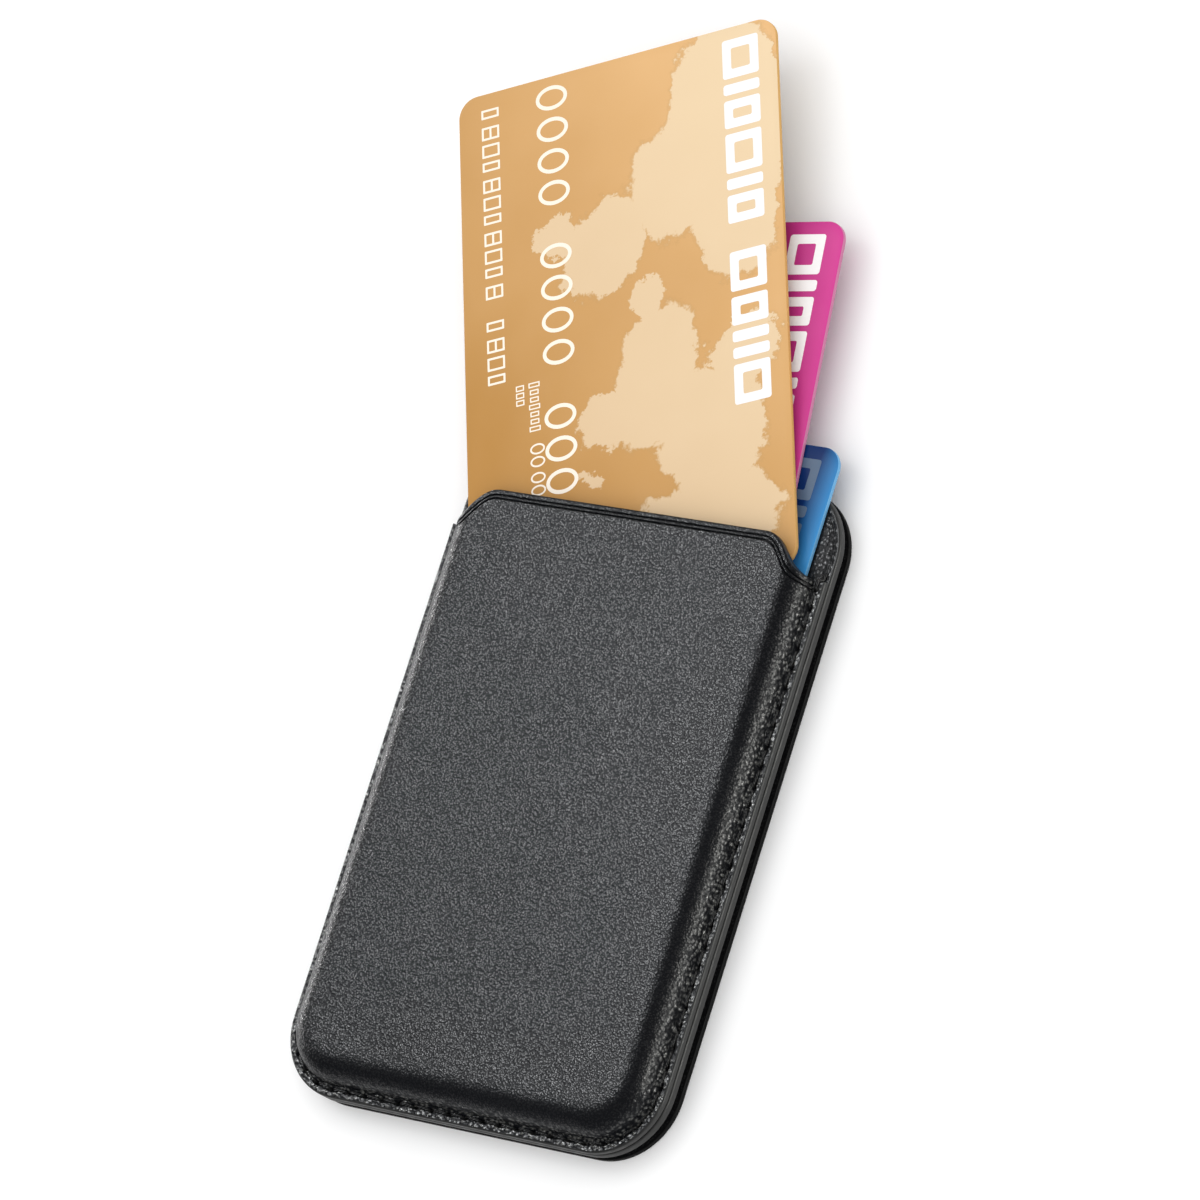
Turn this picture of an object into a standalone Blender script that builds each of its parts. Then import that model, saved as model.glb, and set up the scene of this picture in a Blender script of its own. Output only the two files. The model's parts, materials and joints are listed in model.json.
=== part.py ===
"""Magnetic card holder: a moulded leather pocket on a magnetic back, with three bank cards fanned out of its mouth.

Metres, +Z up. The holder lies on its back: the origin is the middle of its rear face, +Z points out of
the front panel, +Y towards the pocket's mouth and +X to the right as seen from the front.
"""

import math

import bmesh
import bpy
from mathutils import Vector

MM = 0.001

# Overall outline
WIDTH = 66 * MM
LENGTH = 101 * MM
CORNER_RADIUS = 10.7 * MM

# Layers, from the rear face up. Bonded layers keep a glue line between them.
GLUE = 0.1 * MM
REAR_THICKNESS = 0.9 * MM
CORE_THICKNESS = 0.9 * MM
SHIELD_THICKNESS = 0.2 * MM
BACK_THICKNESS = 1.3 * MM
LEATHER = 1.2 * MM
LINING = 0.35 * MM
REAR_TOP = REAR_THICKNESS
CORE_BOTTOM = REAR_TOP + GLUE
CORE_TOP = CORE_BOTTOM + CORE_THICKNESS
SHIELD_BOTTOM = CORE_TOP + GLUE
BACK_BOTTOM = SHIELD_BOTTOM + SHIELD_THICKNESS + GLUE
BACK_TOP = BACK_BOTTOM + BACK_THICKNESS
FLANGE_TOP = BACK_TOP + GLUE + LEATHER

# Moulded pocket
FLANGE_WIDTH = 1.9 * MM
WALL_RUN = 4.7 * MM
PLATEAU_RISE = 4.1 * MM
SHOULDER_POWER = 2.7
FOOT_POWER = 1.8
PLATEAU_TOP = FLANGE_TOP + PLATEAU_RISE
PLATEAU_UNDERSIDE = PLATEAU_TOP - LEATHER
LINING_INSET = FLANGE_WIDTH + WALL_RUN + 0.6 * MM

# Mouth: the flange ends at FLANGE_END and an S-curve climbs to the lip
FLANGE_END = 36.3 * MM
LIP = 41.4 * MM
SCOOP_OUTER = 31.0 * MM
SCOOP_INNER = 23.4 * MM

# Seam
SEAM_INSET = 1.3 * MM
STITCH_PITCH = 3.0 * MM
THREAD_RADIUS = 0.2 * MM
THREAD_CREST = 0.02 * MM
THREAD_DIP = 0.16 * MM
THREAD_GAP = 0.1 * MM
TACK_LENGTH = 1.6 * MM
CHANNEL_RADIUS = 0.42 * MM

# Core and magnets
CORE_INSET = 3.3 * MM
RING_CENTRE = (0.0, 10 * MM)
RING_INNER = 23 * MM
RING_OUTER = 27 * MM
RING_CLEARANCE = 0.6 * MM
RING_COUNT = 18
RING_GAP = 0.5 * MM
MAGNET_THICKNESS = 0.6 * MM
SHUNT_THICKNESS = 0.15 * MM
BAR_SIZE = (6 * MM, 18 * MM)
BAR_CENTRE = (0.0, -32 * MM)
SHIELD_INSET = 4.4 * MM

# Cards, standard ID-1 size
CARD_WIDTH = 53.98 * MM
CARD_LENGTH = 85.60 * MM
CARD_THICKNESS = 0.76 * MM
CARD_RADIUS = 3.18 * MM
FRONT_CARD = {"centre": (-12.0 * MM, 68.7 * MM, 7.63 * MM), "turn": 20.5, "lean": 2.5}
MIDDLE_CARD = {"centre": (-3.1 * MM, 43.9 * MM, 4.94 * MM), "turn": 7.2, "lean": 0.0}
REAR_CARD = {"centre": (2.0 * MM, 13.25 * MM, 4.08 * MM), "turn": 0.0, "lean": 0.0}

CORNER_STEPS = 8


def clear_scene():
    for obj in list(bpy.data.objects):
        bpy.data.objects.remove(obj, do_unlink=True)


def new_collection(name, hidden=False):
    made = bpy.data.collections.new(name)
    made.hide_render = hidden
    bpy.context.scene.collection.children.link(made)
    return made


def new_material(name, colour, roughness, metallic=0.0):
    made = bpy.data.materials.new(name)
    made.use_nodes = True
    shader = made.node_tree.nodes["Principled BSDF"]
    shader.inputs["Base Color"].default_value = (*colour, 1.0)
    shader.inputs["Roughness"].default_value = roughness
    shader.inputs["Metallic"].default_value = metallic
    made.diffuse_color = (*colour, 1.0)
    return made


def arc(centre, radius, start, end, steps):
    """Points along an arc, angles in degrees."""
    angles = [math.radians(start + (end - start) * i / steps) for i in range(steps + 1)]
    return [(centre[0] + radius * math.cos(a), centre[1] + radius * math.sin(a)) for a in angles]


def rounded_rectangle(width, length, radius, centre=(0.0, 0.0), steps=CORNER_STEPS):
    """Closed outline, anticlockwise from the lower left corner."""
    x, y = width / 2 - radius, length / 2 - radius
    corners = ((-x, -y, 180), (x, -y, 270), (x, y, 0), (-x, y, 90))
    points = []
    for cx, cy, start in corners:
        points += arc((centre[0] + cx, centre[1] + cy), radius, start, start + 90, steps)
    return points


def holder_outline(inset):
    return rounded_rectangle(WIDTH - 2 * inset, LENGTH - 2 * inset, max(CORNER_RADIUS - inset, 1 * MM))


def circle(centre, radius, steps=48):
    return arc(centre, radius, 0, 360 * (steps - 1) / steps, steps - 1)


def pocket_path(inset, top):
    """U-shaped run along the left side, round the closed end and up the right side, inset from the outline."""
    radius = CORNER_RADIUS - inset
    x, y = WIDTH / 2 - inset, -LENGTH / 2 + inset
    left = arc((-x + radius, y + radius), radius, 180, 270, CORNER_STEPS)
    right = arc((x - radius, y + radius), radius, 270, 360, CORNER_STEPS)
    return [(-x, top), *left, *right, (x, top)]


def flat_plate(name, outlines, bottom, thickness, material, rim=0.0):
    """A flat piece cut to the outlines (the first is the outside, the rest are holes), with a rounded rim."""
    data = bpy.data.curves.new(name, "CURVE")
    data.dimensions = "2D"
    data.fill_mode = "BOTH"
    for outline in outlines:
        spline = data.splines.new("POLY")
        spline.points.add(len(outline) - 1)
        for point, (x, y) in zip(spline.points, outline):
            point.co = (x, y, 0, 1)
        spline.use_cyclic_u = True
    data.extrude = thickness / 2 - rim
    data.bevel_depth = rim
    data.bevel_resolution = 1
    data.offset = -rim
    data.materials.append(material)
    made = bpy.data.objects.new(name, data)
    made.location.z = bottom + thickness / 2
    parts.objects.link(made)
    return made


def tube(name, points, radius, collection, material=None, resolution=1):
    data = bpy.data.curves.new(name, "CURVE")
    data.dimensions = "3D"
    data.bevel_depth = radius
    data.bevel_resolution = resolution
    data.use_fill_caps = True
    spline = data.splines.new("POLY")
    spline.points.add(len(points) - 1)
    for point, co in zip(spline.points, points):
        point.co = (*co, 1)
    if material:
        data.materials.append(material)
    made = bpy.data.objects.new(name, data)
    collection.objects.link(made)
    return made


def to_mesh_object(curve_object, collection):
    """The curve's evaluated mesh as an object of its own, its caps welded, in the curve's place."""
    graph = bpy.context.evaluated_depsgraph_get()
    data = bpy.data.meshes.new_from_object(curve_object.evaluated_get(graph))
    name, matrix = curve_object.name, curve_object.matrix_world.copy()
    bpy.data.objects.remove(curve_object, do_unlink=True)
    work = bmesh.new()
    work.from_mesh(data)
    bmesh.ops.remove_doubles(work, verts=work.verts, dist=0.001 * MM)
    bmesh.ops.recalc_face_normals(work, faces=work.faces)
    work.to_mesh(data)
    work.free()
    made = bpy.data.objects.new(name, data)
    made.matrix_world = matrix
    collection.objects.link(made)
    return made


def mark_cutter(obj):
    obj.hide_render = True
    obj.display_type = "WIRE"
    return obj


def cut(target, cutter):
    modifier = target.modifiers.new(cutter.name, "BOOLEAN")
    modifier.operation = "DIFFERENCE"
    modifier.object = cutter


def scoop_curve(steps=12):
    """The right-hand S-curve of the mouth, from the end of the flange up to the lip."""
    p0 = Vector((SCOOP_OUTER, FLANGE_END))
    p1 = Vector((SCOOP_OUTER - 2.8 * MM, FLANGE_END + 0.2 * MM))
    p2 = Vector((SCOOP_INNER + 3.8 * MM, LIP))
    p3 = Vector((SCOOP_INNER, LIP))
    points = []
    for i in range(steps + 1):
        t = i / steps
        s = 1 - t
        at = p0 * s**3 + p1 * 3 * s * s * t + p2 * 3 * s * t * t + p3 * t**3
        points.append((at.x, at.y))
    return points


def mouth_cutter():
    """Everything beyond the mouth of the front panel."""
    beyond = LENGTH / 2 + 10 * MM
    side = WIDTH / 2 + 5 * MM
    right = scoop_curve()
    left = [(-x, y) for x, y in right]
    outline = [(-side, beyond), (-side, FLANGE_END), *left, *reversed(right), (side, FLANGE_END), (side, beyond)]
    low, high = BACK_TOP - 2 * MM, PLATEAU_TOP + 2 * MM
    made = flat_plate("mouth_cutter", [outline], low, high - low, None)
    parts.objects.unlink(made)
    cutters.objects.link(made)
    bpy.context.view_layer.update()
    return mark_cutter(to_mesh_object(made, cutters))


def channel_cutter():
    """The groove that the seam sinks into, along the flange."""
    path = [(x, y, FLANGE_TOP) for x, y in pocket_path(SEAM_INSET, LIP)]
    made = tube("channel_cutter", path, CHANNEL_RADIUS, cutters, resolution=1)
    bpy.context.view_layer.update()
    return mark_cutter(to_mesh_object(made, cutters))


def wall_profile(steps=7):
    """(inset, height) from the flange's rim over the wall's shoulder to the plateau."""
    points = [(0.0, FLANGE_TOP), (FLANGE_WIDTH, FLANGE_TOP)]
    for i in range(1, steps + 1):
        angle = math.pi / 2 * i / steps
        run = 1 - math.cos(angle) ** (2 / SHOULDER_POWER)
        rise = math.sin(angle) ** (2 / FOOT_POWER)
        points.append((FLANGE_WIDTH + WALL_RUN * run, FLANGE_TOP + PLATEAU_RISE * rise))
    return points


def make_front_panel(material):
    """The moulded sheet: flange, wall and plateau lofted along the pocket's path, then thickened inwards."""
    work = bmesh.new()
    rings = []
    for inset, height in wall_profile():
        path = pocket_path(inset, LIP + 4 * MM)
        rings.append([work.verts.new((x, y, height)) for x, y in path])
    for outer, inner in zip(rings, rings[1:]):
        for i in range(len(outer) - 1):
            work.faces.new((outer[i], outer[i + 1], inner[i + 1], inner[i]))
    work.faces.new(rings[-1])
    bmesh.ops.recalc_face_normals(work, faces=work.faces)
    if sum(face.normal.z for face in work.faces) < 0:
        bmesh.ops.reverse_faces(work, faces=work.faces)
    data = bpy.data.meshes.new("front_panel")
    work.to_mesh(data)
    work.free()
    data.materials.append(material)
    made = bpy.data.objects.new("front_panel", data)
    parts.objects.link(made)
    shell = made.modifiers.new("leather", "SOLIDIFY")
    shell.thickness = LEATHER
    shell.offset = -1
    shell.use_even_offset = True
    cut(made, mouth_cutter())
    cut(made, channel_cutter())
    return made


def make_front_lining(material):
    """Flat lining glued under the plateau, ending short of the lip."""
    x = WIDTH / 2 - LINING_INSET
    low, high = -LENGTH / 2 + LINING_INSET, LIP - 1.5 * MM
    outline = rounded_rectangle(2 * x, high - low, 4 * MM, (0.0, (low + high) / 2))
    return flat_plate("front_lining", [outline], PLATEAU_UNDERSIDE - GLUE - LINING, LINING, material)


def seam_stations(top):
    """Points a half stitch apart along the seam, with the distance of each from the start."""
    path = [Vector(p) for p in pocket_path(SEAM_INSET, top)]
    lengths = [(b - a).length for a, b in zip(path, path[1:])]
    count = 2 * round(sum(lengths) / STITCH_PITCH)
    step = sum(lengths) / count
    stations = []
    piece, walked = 0, 0.0
    for i in range(count + 1):
        target = min(i * step, sum(lengths))
        while piece < len(lengths) - 1 and target > walked + lengths[piece]:
            walked += lengths[piece]
            piece += 1
        share = (target - walked) / lengths[piece]
        stations.append(path[piece].lerp(path[piece + 1], share))
    return stations


def make_top_thread(material):
    """One thread: it dips at every needle hole, and its ends wrap over the flange's ends onto the back panel."""
    high, low = FLANGE_TOP + THREAD_CREST, FLANGE_TOP - THREAD_DIP
    stations = seam_stations(FLANGE_END - 6 * THREAD_RADIUS)
    run = [(p.x, p.y, low if i % 2 == 0 else high) for i, p in enumerate(stations)]
    side = WIDTH / 2 - SEAM_INSET
    over = FLANGE_TOP + THREAD_RADIUS + THREAD_GAP
    drop = BACK_TOP + THREAD_RADIUS + THREAD_GAP
    past = FLANGE_END + THREAD_RADIUS + THREAD_GAP
    end = [(side, FLANGE_END - THREAD_RADIUS, over), (side, past, over), (side, past + THREAD_GAP, drop),
           (side, past + TACK_LENGTH, drop)]
    start = [(-x, y, z) for x, y, z in reversed(end)]
    return tube("seam_thread_top", start + run + end, THREAD_RADIUS, parts, material)


def make_bobbin_thread(material):
    height = BACK_BOTTOM - THREAD_GAP - THREAD_RADIUS
    path = [(x, y, height) for x, y in pocket_path(SEAM_INSET, FLANGE_END + TACK_LENGTH)]
    return tube("seam_thread_bobbin", path, THREAD_RADIUS, parts, material)


def make_core(material):
    ring_hole = circle(RING_CENTRE, RING_OUTER + RING_CLEARANCE)
    bar_slot = rounded_rectangle(BAR_SIZE[0] + 0.6 * MM, BAR_SIZE[1] + 0.6 * MM, 1 * MM, BAR_CENTRE, 3)
    outlines = [holder_outline(CORE_INSET), ring_hole, bar_slot]
    flat_plate("core_board", outlines, CORE_BOTTOM, CORE_THICKNESS, material)
    disc = circle(RING_CENTRE, RING_INNER - RING_CLEARANCE)
    flat_plate("core_disc", [disc], CORE_BOTTOM, CORE_THICKNESS, material)


def ring_segment_outline():
    half = math.degrees(math.pi / RING_COUNT - RING_GAP / (RING_INNER + RING_OUTER))
    outer = arc((0.0, 0.0), RING_OUTER, -half, half, 4)
    inner = arc((0.0, 0.0), RING_INNER, half, -half, 4)
    return outer + inner


def make_magnets(magnet, steel):
    for index in range(RING_COUNT):
        name = f"ring_magnet_{index + 1:02d}"
        made = flat_plate(name, [ring_segment_outline()], CORE_BOTTOM, MAGNET_THICKNESS, magnet)
        made.location.x, made.location.y = RING_CENTRE
        made.rotation_euler.z = 2 * math.pi * (index + 0.5) / RING_COUNT
    bar = rounded_rectangle(*BAR_SIZE, 0.8 * MM, BAR_CENTRE, 3)
    flat_plate("alignment_magnet", [bar], CORE_BOTTOM, MAGNET_THICKNESS, magnet)
    ring = [circle(RING_CENTRE, RING_OUTER), circle(RING_CENTRE, RING_INNER)]
    flat_plate("shunt_ring", ring, CORE_BOTTOM + MAGNET_THICKNESS + 0.1 * MM, SHUNT_THICKNESS, steel)


def make_card(name, place, material):
    """A card about its own centre, leant back on its cross axis and turned in the holder's plane."""
    outline = rounded_rectangle(CARD_WIDTH, CARD_LENGTH, CARD_RADIUS, steps=5)
    made = flat_plate(name, [outline], -CARD_THICKNESS / 2, CARD_THICKNESS, material)
    made.location = place["centre"]
    made.rotation_euler = (math.radians(place["lean"]), 0.0, math.radians(place["turn"]))
    return made


def make_cards():
    make_card("card_front", FRONT_CARD, new_material("card_gold", (0.62, 0.36, 0.09), 0.35))
    make_card("card_middle", MIDDLE_CARD, new_material("card_magenta", (0.74, 0.06, 0.33), 0.35))
    make_card("card_rear", REAR_CARD, new_material("card_blue", (0.03, 0.25, 0.62), 0.35))


clear_scene()
parts = new_collection("card_holder")
cutters = new_collection("cutters", hidden=True)

leather = new_material("front_leather", (0.045, 0.047, 0.052), 0.5)
back_leather = new_material("back_leather", (0.04, 0.042, 0.045), 0.55)
rear_leather = new_material("rear_leather", (0.02, 0.02, 0.022), 0.6)
microfibre = new_material("microfibre", (0.03, 0.03, 0.033), 0.95)
thread = new_material("thread", (0.012, 0.012, 0.013), 0.7)
board = new_material("fibre_board", (0.05, 0.05, 0.05), 0.85)
steel = new_material("steel", (0.6, 0.6, 0.62), 0.35, 1.0)
nickel = new_material("nickel", (0.7, 0.69, 0.66), 0.25, 1.0)

flat_plate("rear_panel", [holder_outline(0.1 * MM)], 0.0, REAR_THICKNESS, rear_leather, rim=0.2 * MM)
make_core(board)
make_magnets(nickel, steel)
flat_plate("shield_plate", [holder_outline(SHIELD_INSET)], SHIELD_BOTTOM, SHIELD_THICKNESS, steel)
flat_plate("back_panel", [holder_outline(0.0)], BACK_BOTTOM, BACK_THICKNESS, back_leather, rim=0.25 * MM)
make_front_panel(leather)
make_front_lining(microfibre)
make_top_thread(thread)
make_bobbin_thread(thread)
make_cards()
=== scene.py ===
"""Looks of the magnetic card holder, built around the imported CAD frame.

Metres, in the frame's own axes: the holder lies on its back, +Y towards the mouth, +X to the right and +Z
out of the front panel. Sheets are lofted along the pocket's outline, so the seam, the wall and the lip
follow it.
"""

import json
import math

import bpy
import numpy as np
from mathutils import Matrix, Vector


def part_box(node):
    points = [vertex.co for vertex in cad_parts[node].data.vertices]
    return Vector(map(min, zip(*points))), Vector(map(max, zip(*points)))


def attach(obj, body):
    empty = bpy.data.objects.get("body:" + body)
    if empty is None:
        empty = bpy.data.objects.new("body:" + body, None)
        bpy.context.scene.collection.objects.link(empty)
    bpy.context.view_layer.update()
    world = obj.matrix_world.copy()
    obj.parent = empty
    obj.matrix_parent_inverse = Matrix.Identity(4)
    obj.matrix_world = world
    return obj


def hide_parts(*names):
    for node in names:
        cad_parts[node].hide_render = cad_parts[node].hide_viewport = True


MM = 0.001

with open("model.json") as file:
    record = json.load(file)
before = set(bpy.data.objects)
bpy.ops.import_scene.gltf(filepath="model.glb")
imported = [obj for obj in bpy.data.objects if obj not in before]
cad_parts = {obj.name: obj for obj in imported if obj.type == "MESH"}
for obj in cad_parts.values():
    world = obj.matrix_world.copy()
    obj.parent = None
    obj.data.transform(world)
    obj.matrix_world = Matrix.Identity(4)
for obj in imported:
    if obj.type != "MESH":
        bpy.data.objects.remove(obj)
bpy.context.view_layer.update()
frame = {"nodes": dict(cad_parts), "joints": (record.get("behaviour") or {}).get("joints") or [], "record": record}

# ---------------------------------------------------------------- sizes, from the frame and the design
back_low, back_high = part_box("back_panel")
rear_low, rear_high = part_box("rear_panel")
front_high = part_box("front_panel")[1]
HALF_WIDTH = back_high.x
HALF_LENGTH = back_high.y
CORNER_RADIUS = 10.7 * MM
LEATHER = 1.2 * MM
FORMED_LEATHER = 1.1 * MM  # the pressed part is drawn a little thinner
GLUE = 0.1 * MM
FLANGE_UNDER = back_high.z + GLUE
FLANGE_TOP = FLANGE_UNDER + LEATHER
PLATEAU_TOP = front_high.z
LIP = front_high.y
FLANGE_WIDTH = 1.9 * MM
WALL_RUN = 4.7 * MM
SHOULDER_POWER = 2.7
FOOT_POWER = 1.8
FLANGE_END = 36.3 * MM
SCOOP_OUTER = 31.0 * MM
SCOOP_INNER = 23.4 * MM
SEAM_INSET = 1.3 * MM
SEAM_MARGIN = 1.3 * MM
SEAM_REACH = 0.85 * MM
STITCH_PITCH = 3.0 * MM
STITCH_RISE = 0.05 * MM
STITCH_DIVE = 0.75 * MM
PLY_RADIUS = 0.12 * MM
GROOVE_DEPTH = 0.16 * MM
GROOVE_HALF = 0.42 * MM
HOLE_DEPTH = 0.7 * MM
HOLE_HALF = (0.5 * MM, 0.32 * MM)
LEAST_RADIUS = 0.35 * MM
EDGE_ROUND = 0.35 * MM
LIP_ROUND = 0.32 * MM
CREASES = (0.88 * MM, 1.44 * MM)
CREASE_DEPTH = 0.32 * MM
CREASE_HALF = 0.15 * MM
CREASE_FADE = 1.2 * MM
# Between and outside the creases the leather puffs up: distance from the mouth's edge, half width, share
PUFF_HEIGHT = 0.05 * MM
PUFFS = ((0.5 * MM, 0.25 * MM, 1.0), (1.15 * MM, 0.08 * MM, 0.6))
SLACK = 0.02 * MM
MIDDLE_ROWS = (12 * MM, 26 * MM)

# Pressed line along the back panel's edge: inset, depth, half width
BACK_CREASES = ((0.95 * MM, 0.12 * MM, 0.22 * MM),)

# Specular levels of the stretched leather's tops, of the relaxed leather's beside the seam, and of a card
LEATHER_SHINE = 0.46
RELAXED_SHINE = 0.6
SATIN_SHINE = 0.05

# The relaxed leather gives way to the stretched one between these insets
RELAXED_BAND = (1.9 * MM, 3.1 * MM)
# Tops of the relaxed pebbles along the seam, painted pale: a painted highlight where light would catch them
RELAXED_PAINTED_HIGHLIGHT = (0.25, 0.25, 0.23)


# ---------------------------------------------------------------- materials
class Graph:
    """A material's node tree, with its Principled shader."""

    def __init__(self, name):
        self.material = bpy.data.materials.new(name)
        self.material.use_nodes = True
        self.tree = self.material.node_tree
        self.shader = self.tree.nodes["Principled BSDF"]

    def node(self, kind, settings=None, **inputs):
        made = self.tree.nodes.new(kind)
        for key, value in (settings or {}).items():
            setattr(made, key, value)
        for key, value in inputs.items():
            self.feed(made, key, value)
        return made

    def feed(self, node, key, value):
        """Links or sets an input, named by its label with underscores, or by i and its number."""
        numbered = key[0] == "i" and key[1:].isdigit()
        socket = node.inputs[int(key[1:]) if numbered else key.replace("_", " ")]
        if isinstance(value, bpy.types.NodeSocket):
            self.tree.links.new(value, socket)
        else:
            socket.default_value = value

    def set(self, **inputs):
        for key, value in inputs.items():
            self.feed(self.shader, key, value)

    def math(self, operation, a, b=0.0, clamp=False):
        made = self.node("ShaderNodeMath", {"operation": operation, "use_clamp": clamp}, i0=a, i1=b)
        return made.outputs[0]

    def remap(self, value, low, high, to_low, to_high):
        made = self.node("ShaderNodeMapRange", None, Value=value)
        for key, number in (("From Min", low), ("From Max", high), ("To Min", to_low), ("To Max", to_high)):
            made.inputs[key].default_value = number
        return made.outputs[0]

    def mix(self, factor, a, b):
        made = self.node("ShaderNodeMix", {"data_type": "RGBA"})
        self.feed(made, "i0", factor)
        for index, value in ((6, a), (7, b)):
            if isinstance(value, bpy.types.NodeSocket):
                self.tree.links.new(value, made.inputs[index])
            else:
                made.inputs[index].default_value = (*value, 1.0)
        return made.outputs[2]

    def blend(self, factor, a, b):
        made = self.node("ShaderNodeMix", {"data_type": "FLOAT"})
        for index, value in ((0, factor), (2, a), (3, b)):
            self.feed(made, f"i{index}", value)
        return made.outputs[0]

    def length(self, vector):
        made = self.node("ShaderNodeVectorMath", {"operation": "LENGTH"}, i0=vector)
        return made.outputs["Value"]

    def coordinates(self):
        return self.node("ShaderNodeTexCoord").outputs["Object"]

    def noise(self, vector, scale, detail=3.0, roughness=0.55):
        made = self.node("ShaderNodeTexNoise", None, Vector=vector, Scale=scale, Detail=detail,
                         Roughness=roughness)
        return made.outputs

    def bump(self, height, distance, strength=1.0, normal=None):
        made = self.node("ShaderNodeBump", None, Height=height, Distance=distance, Strength=strength)
        if normal is not None:
            self.feed(made, "Normal", normal)
        return made.outputs[0]


def shade(colour, share):
    return tuple(c * share for c in colour)


def outline_inset(g, at):
    """How far inside the holder's rounded outline a point is, in metres."""
    split = g.node("ShaderNodeSeparateXYZ", None, Vector=at)
    over = []
    for axis, half in (("X", HALF_WIDTH), ("Y", HALF_LENGTH)):
        away = g.math("ABSOLUTE", split.outputs[axis])
        over.append(g.math("SUBTRACT", away, half - CORNER_RADIUS))
    outside = g.node("ShaderNodeCombineXYZ", None, X=g.math("MAXIMUM", over[0], 0.0),
                     Y=g.math("MAXIMUM", over[1], 0.0))
    round_part = g.length(outside.outputs[0])
    flat_part = g.math("MINIMUM", g.math("MAXIMUM", over[0], over[1]), 0.0)
    return g.math("SUBTRACT", CORNER_RADIUS, g.math("ADD", round_part, flat_part))


def pebbles(g, at, grain):
    """Height of a pebbled grain: warped cells, with finer creases across them."""
    warp = g.noise(at, 0.4 / grain, 2.0)["Color"]
    shift = g.node("ShaderNodeVectorMath", {"operation": "MULTIPLY_ADD"}, i0=warp, i1=(grain * 1.3,) * 3,
                   i2=at)
    cells = g.node("ShaderNodeTexVoronoi", {"feature": "SMOOTH_F1"}, Vector=shift.outputs[0],
                   Scale=1 / grain, Smoothness=0.25)
    dome = g.math("SUBTRACT", 1.0, cells.outputs["Distance"])
    fine = g.noise(at, 2.4 / grain, 2.0, 0.6)["Fac"]
    return g.math("ADD", dome, g.math("MULTIPLY", fine, 0.35)), dome


def leather(name, colour, grain, depth, roughness, relaxed=None, wear_and_highlight=(0.03, 0.03, 0.032)):
    """Pebbled leather, shiny on its tops and matt in its valleys, its tops a little paler: wear, and painted
    highlight on the grain.

    Where relaxed is given, the grain along the seam, which isn't stretched, has that size. There it also
    stands higher, and its tops are painted pale: a painted highlight for the light that catches the coarse
    pebbles.
    """
    g = Graph(name)
    at = g.coordinates()
    height, dome = pebbles(g, at, grain)
    shine = LEATHER_SHINE
    if relaxed is not None:
        coarse, coarse_dome = pebbles(g, at, relaxed)
        share = g.remap(outline_inset(g, at), *RELAXED_BAND, 1.0, 0.0)
        height = g.blend(share, height, g.math("MULTIPLY", coarse, 3.2))
        # Along the seam the tops stand higher and take the painted highlight colour
        dome = g.blend(share, dome, g.math("ADD", coarse_dome, 0.12))
        wear_and_highlight = g.mix(share, wear_and_highlight, RELAXED_PAINTED_HIGHLIGHT)
        shine = g.blend(share, LEATHER_SHINE, RELAXED_SHINE)
    pores = g.noise(at, 0.35 / grain, 4.0, 0.65)["Fac"]
    height = g.math("ADD", height, g.math("MULTIPLY", pores, 0.5))
    tone = g.noise(at, 60.0, 3.0)["Fac"]
    base = g.mix(g.remap(tone, 0.35, 0.65, 0.0, 1.0), shade(colour, 0.9), shade(colour, 1.1))
    # Pebble tops mixed paler: wear, and a painted highlight, strongest along the seam
    g.set(Base_Color=g.mix(g.remap(dome, 0.66, 0.92, 0.0, 0.35), base, wear_and_highlight))
    gloss = g.remap(g.noise(at, 140.0, 2.0)["Fac"], 0.3, 0.7, roughness - 0.015, roughness + 0.02)
    g.set(Roughness=g.math("ADD", gloss, g.remap(dome, 0.5, 1.0, 0.10, -0.05)))
    g.set(Specular_IOR_Level=g.math("MULTIPLY", g.remap(dome, 0.45, 0.85, 0.18, 1.0), shine))
    g.set(Normal=g.bump(height, depth))
    return g.material


def edge_paint(name, colour, roughness, shine):
    """The painted, burnished edge of a leather sheet: smooth, a little uneven, with fine lines along it."""
    g = Graph(name)
    at = g.coordinates()
    flat = g.node("ShaderNodeMapping", None, Vector=at)
    flat.inputs["Scale"].default_value = (150.0, 150.0, 5200.0)
    lines = g.noise(flat.outputs[0], 1.0, 2.0)["Fac"]
    blots = g.noise(at, 700.0, 3.0)["Fac"]
    mixed = g.math("ADD", g.math("MULTIPLY", lines, 0.5), g.math("MULTIPLY", blots, 0.5))
    g.set(Base_Color=g.mix(g.remap(mixed, 0.35, 0.65, 0, 1), shade(colour, 0.7), colour))
    g.set(Roughness=g.remap(blots, 0.3, 0.7, roughness - 0.06, roughness + 0.1))
    g.set(Normal=g.bump(mixed, 0.05 * MM, 0.7), Specular_IOR_Level=shine)
    return g.material


def thread_material(name, colour):
    """Waxed twisted polyester: fine filaments across each ply."""
    g = Graph(name)
    at = g.coordinates()
    filaments = g.node("ShaderNodeTexWave", {"bands_direction": "DIAGONAL"}, Vector=at, Scale=5200.0,
                       Distortion=4.0)
    fuzz = g.noise(at, 6000.0, 2.0)["Fac"]
    g.set(Base_Color=g.mix(g.remap(fuzz, 0.3, 0.7, 0, 1), shade(colour, 0.6), shade(colour, 1.8)))
    g.set(Roughness=g.remap(fuzz, 0.3, 0.7, 0.38, 0.6))
    g.set(Normal=g.bump(filaments.outputs["Fac"], 0.02 * MM, 0.6))
    return g.material


def suede(name, colour):
    g = Graph(name)
    at = g.coordinates()
    nap = g.noise(at, 9000.0, 4.0, 0.7)["Fac"]
    brushed = g.noise(at, 260.0, 3.0)["Fac"]
    g.set(Base_Color=g.mix(brushed, shade(colour, 0.7), shade(colour, 1.5)), Sheen_Weight=0.3)
    g.set(Roughness=g.remap(nap, 0.3, 0.7, 0.85, 0.98), Normal=g.bump(nap, 0.06 * MM))
    return g.material


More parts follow.
